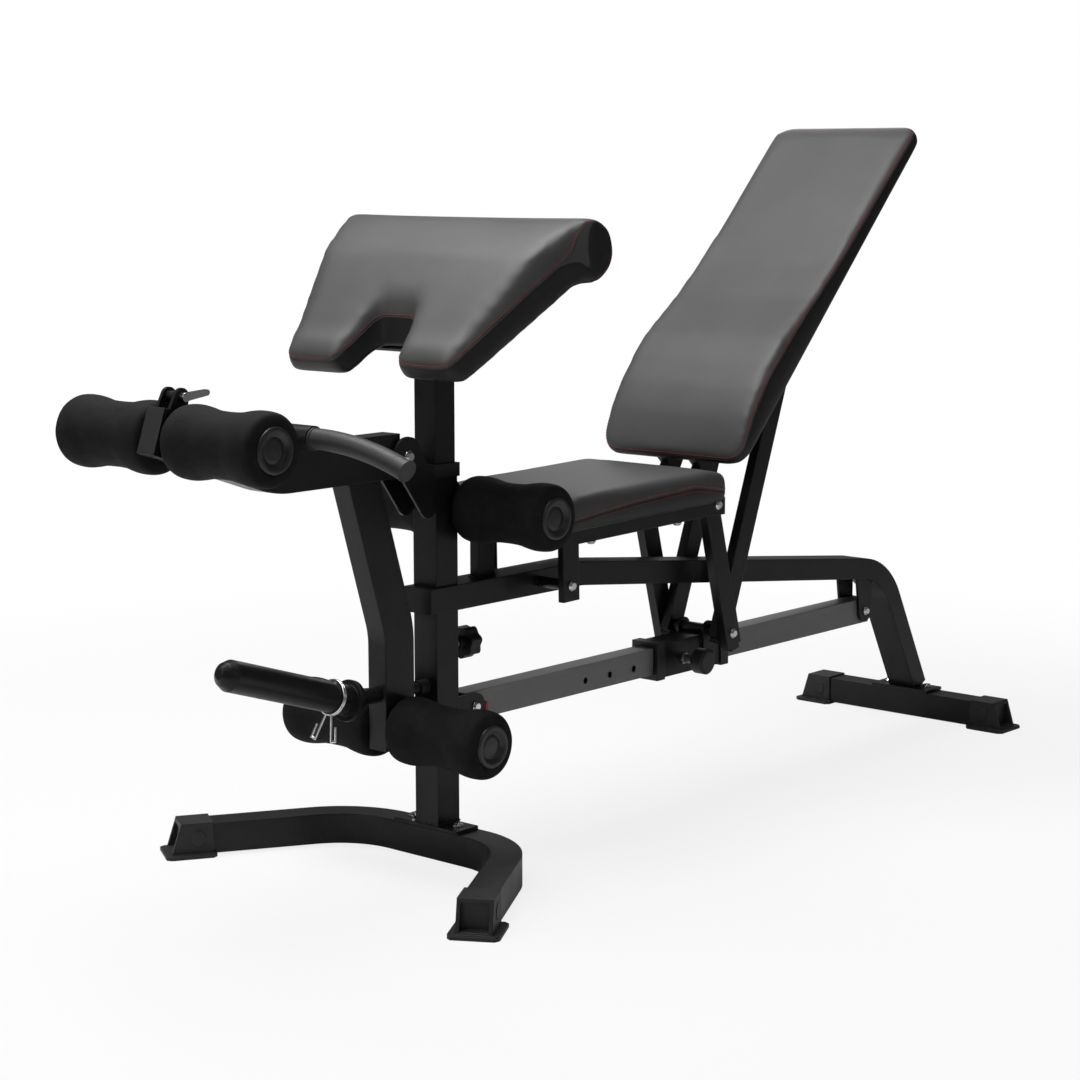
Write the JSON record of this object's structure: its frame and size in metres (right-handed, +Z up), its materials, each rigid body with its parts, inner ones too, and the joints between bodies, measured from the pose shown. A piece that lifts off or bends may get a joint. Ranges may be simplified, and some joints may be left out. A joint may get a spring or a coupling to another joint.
{
  "type": "adjustable weight bench",
  "caption": "Adjustable weight bench with tilting back pad, sliding brace on a pinned rail, leg developer with foam rollers, and a preacher pad on a sliding post.",
  "frame": {"origin": "centre of the bounding box at floor level", "axes": "+X towards the rear foot, +Y across the bench, +Z up"},
  "size_m": [2.0251, 0.7466, 1.1856],
  "materials": {
    "frame_black": "satin black powder coat",
    "rail_grey": "satin grey",
    "chrome": "bright",
    "zinc": "dull zinc",
    "pad_cover": "fine grained imitation leather",
    "foam": "closed-cell foam",
    "rubber": "matt",
    "black_plastic": "moulded",
    "red_plastic": "moulded"
  },
  "bodies": {
    "base": {"front_foot": "frame_black", "front_foot_caps": "rubber", "rear_foot": "frame_black", "rear_foot_caps": "rubber", "upright": "frame_black", "upright_collar": "black_plastic", "main_beam": "frame_black", "beam_plate": "frame_black", "foot_bolts": "chrome", "pivot_ears": "frame_black", "pivot_bolt": "chrome", "slide_rail": "rail_grey", "rail_ears": "frame_black", "rail_bolts": "chrome", "rail_stop": "red_plastic", "roller_stand": "frame_black", "thigh_bar": "frame_black", "seat_pivot_spacers": "frame_black", "seat_pivot_bolt": "chrome", "post_pin_housing": "zinc"},
    "post_pin": {"post_pin": "black_plastic"},
    "carriage": {"carriage": "frame_black", "carriage_collars": "black_plastic", "carriage_pin_housing": "zinc"},
    "carriage_pin": {"carriage_pin": "black_plastic"},
    "links": {"front_links": "frame_black", "rear_links": "frame_black", "apex_bolts": "chrome", "link_top_bolts": "chrome"},
    "seat": {"seat_frame": "frame_black", "seat_pad": "pad_cover", "seat_pad_bolts": "chrome", "back_pivot_bolts": "chrome"},
    "back": {"back_frame": "frame_black", "back_pad": "pad_cover", "back_pad_bolts": "chrome"},
    "lever": {"lever_arm": "frame_black", "lever_drop_tube": "frame_black", "arm_end_cap": "black_plastic", "upper_roller_bar": "frame_black", "lower_roller_bar": "frame_black", "lever_bumper": "rubber", "weight_horn": "frame_black", "lock_ears": "frame_black", "lock_bolt": "chrome", "curl_sleeve": "frame_black"},
    "lock_lever": {"lock_lever": "chrome"},
    "curl_bar": {"curl_bar": "frame_black", "curl_grips": "rubber"},
    "spring_clip": {"spring_clip": "chrome"},
    "upper_rollers": {"upper_rollers": "foam", "upper_roller_caps": "black_plastic"},
    "lower_rollers": {"lower_rollers": "foam", "lower_roller_caps": "black_plastic"},
    "thigh_rollers": {"thigh_rollers": "foam", "thigh_roller_caps": "black_plastic"},
    "preacher": {"preacher_post": "frame_black", "preacher_bracket": "frame_black", "preacher_pad": "pad_cover"}
  },
  "joints": [
    {"name": "seat_tilt", "type": "hinge", "parent": "base", "child": "seat", "pos_m": [-0.1985, 0, 0.43], "axis": [0, -1, 0], "range_deg": [-2, 1.5]},
    {"name": "back_recline", "type": "hinge", "parent": "seat", "child": "back", "pos_m": [0.1995, 0, 0.523], "axis": [0, -1, 0], "range_deg": [-46, 22]},
    {"name": "carriage_slide", "type": "slide", "parent": "base", "child": "carriage", "axis": [1, 0, 0], "range_m": [-0.19, 0.095]},
    {"name": "links_turn", "type": "hinge", "parent": "carriage", "child": "links", "pos_m": [0.2645, 0, 0.281], "axis": [0, -1, 0], "range_deg": [-48, 24]},
    {"name": "carriage_pin_pull", "type": "slide", "parent": "carriage", "child": "carriage_pin", "axis": [0, -1, 0], "range_m": [0, 0.01], "stiffness_N_per_m": 400, "springref_m": -0.01},
    {"name": "post_pin_pull", "type": "slide", "parent": "base", "child": "post_pin", "axis": [1, 0, 0], "range_m": [0, 0.01], "stiffness_N_per_m": 400, "springref_m": -0.01},
    {"name": "preacher_height", "type": "slide", "parent": "base", "child": "preacher", "axis": [0, 0, 1], "range_m": [-0.04, 0.12]},
    {"name": "lever_swing", "type": "hinge", "parent": "base", "child": "lever", "pos_m": [-0.5085, 0, 0.667], "axis": [0, 1, 0], "range_deg": [0, 60]},
    {"name": "lock_lever_turn", "type": "hinge", "parent": "lever", "child": "lock_lever", "pos_m": [-0.9555, 0, 0.792], "axis": [0, 1, 0], "range_deg": [-100, 0]},
    {"name": "curl_bar_turn", "type": "hinge", "parent": "lever", "child": "curl_bar", "pos_m": [-0.7505, 0, 0.719], "axis": [0, 1, 0], "range_deg": [-30, 30]},
    {"name": "spring_clip_slide", "type": "slide", "parent": "lever", "child": "spring_clip", "axis": [-0.9521, 0, 0.3057], "range_m": [0, 0.2]},
    {"name": "upper_roller_spin", "type": "hinge", "parent": "lever", "child": "upper_rollers", "pos_m": [-0.9585, 0, 0.73], "axis": [0, 1, 0], "continuous": true},
    {"name": "lower_roller_spin", "type": "hinge", "parent": "lever", "child": "lower_rollers", "pos_m": [-0.5185, 0, 0.234], "axis": [0, 1, 0], "continuous": true},
    {"name": "thigh_roller_spin", "type": "hinge", "parent": "base", "child": "thigh_rollers", "pos_m": [-0.3685, 0, 0.571], "axis": [0, 1, 0], "continuous": true}
  ],
  "couplings": [
    {"joint": "seat_tilt", "follows": "back_recline", "ratio": 0.03},
    {"joint": "carriage_slide", "follows": "back_recline", "m_per_rad": 0.2275},
    {"joint": "links_turn", "follows": "back_recline", "ratio": 1.03}
  ]
}
